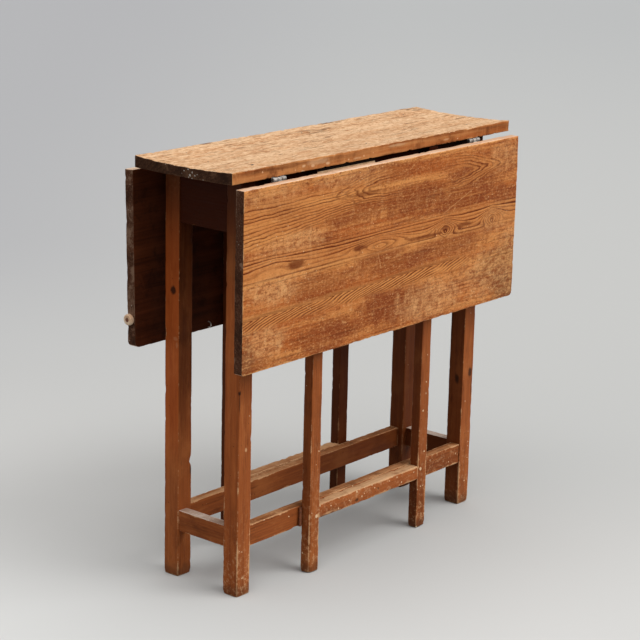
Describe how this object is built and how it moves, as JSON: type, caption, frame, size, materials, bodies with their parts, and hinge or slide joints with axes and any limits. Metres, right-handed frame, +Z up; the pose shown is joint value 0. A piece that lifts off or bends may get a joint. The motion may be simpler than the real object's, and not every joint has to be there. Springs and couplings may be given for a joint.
{
  "type": "gate-leg drop-leaf table",
  "caption": "Narrow pine drop-leaf table with hinged leaves that hang at its sides and gate legs that swing out on butt hinges to hold them up.",
  "frame": {"origin": "on the floor, in the middle of the table's outer box with the leaves hanging", "axes": "+X along the table's length, away from the knob end; +Y across it to the far leaf, which carries the knob; +Z up from the floor"},
  "size_m": [0.763, 0.2619, 0.73],
  "materials": {
    "frame_wood": "worn reddish stain",
    "top_wood": "worn raw pine",
    "leaf_wood": "worn golden varnish",
    "pale_wood": "bare wood",
    "iron": "dark, dull"
  },
  "bodies": {
    "frame": {"leg_near_left": "frame_wood", "leg_near_right": "frame_wood", "leg_far_left": "frame_wood", "leg_far_right": "frame_wood", "stretcher_near": "frame_wood", "stretcher_far": "frame_wood", "stretcher_left": "frame_wood", "stretcher_right": "frame_wood", "apron_near": "frame_wood", "apron_far": "frame_wood", "apron_left": "frame_wood", "apron_right": "frame_wood", "table_top": "top_wood", "top_nails": "iron", "gate_block_near": "pale_wood", "gate_block_far": "pale_wood", "block_nails": "iron", "top_hinge_plates_near": "iron", "top_hinge_screws_near": "iron", "leaf_hinge_pins_near": "iron", "gate_hinge_frame_plates_near": "iron", "gate_hinge_frame_screws_near": "iron", "gate_hinge_pins_near": "iron", "top_hinge_plates_far": "iron", "top_hinge_screws_far": "iron", "leaf_hinge_pins_far": "iron", "gate_hinge_frame_plates_far": "iron", "gate_hinge_frame_screws_far": "iron", "gate_hinge_pins_far": "iron"},
    "leaf_near": {"leaf_near": "leaf_wood", "leaf_hinge_plates_near": "iron", "leaf_hinge_screws_near": "iron"},
    "gate_near": {"gate_pivot_post_near": "frame_wood", "gate_free_post_near": "frame_wood", "gate_lower_rail_near": "frame_wood", "gate_upper_rail_near": "frame_wood", "gate_pegs_near": "pale_wood", "gate_hinge_post_plates_near": "iron", "gate_hinge_post_screws_near": "iron"},
    "leaf_far": {"leaf_far": "leaf_wood", "leaf_hinge_plates_far": "iron", "leaf_hinge_screws_far": "iron", "knob": "pale_wood", "knob_screw": "iron", "leaf_staple": "iron"},
    "gate_far": {"gate_pivot_post_far": "frame_wood", "gate_free_post_far": "frame_wood", "gate_lower_rail_far": "frame_wood", "gate_upper_rail_far": "frame_wood", "gate_pegs_far": "pale_wood", "gate_hinge_post_plates_far": "iron", "gate_hinge_post_screws_far": "iron"}
  },
  "joints": [
    {"name": "leaf_near_hinge", "type": "hinge", "parent": "frame", "child": "leaf_near", "pos_m": [0.0065, -0.107, 0.706], "axis": [-1, 0, 0], "range_deg": [0, 90]},
    {"name": "leaf_far_hinge", "type": "hinge", "parent": "frame", "child": "leaf_far", "pos_m": [0.0065, 0.107, 0.706], "axis": [1, 0, 0], "range_deg": [0, 91.2]},
    {"name": "gate_near_hinge", "type": "hinge", "parent": "frame", "child": "gate_near", "pos_m": [-0.1619, -0.0852, 0.4], "axis": [0, 0, -1], "range_deg": [0, 1.4]},
    {"name": "gate_far_hinge", "type": "hinge", "parent": "frame", "child": "gate_far", "pos_m": [0.1749, 0.0852, 0.4], "axis": [0, 0, -1], "range_deg": [0, 0.4]}
  ]
}
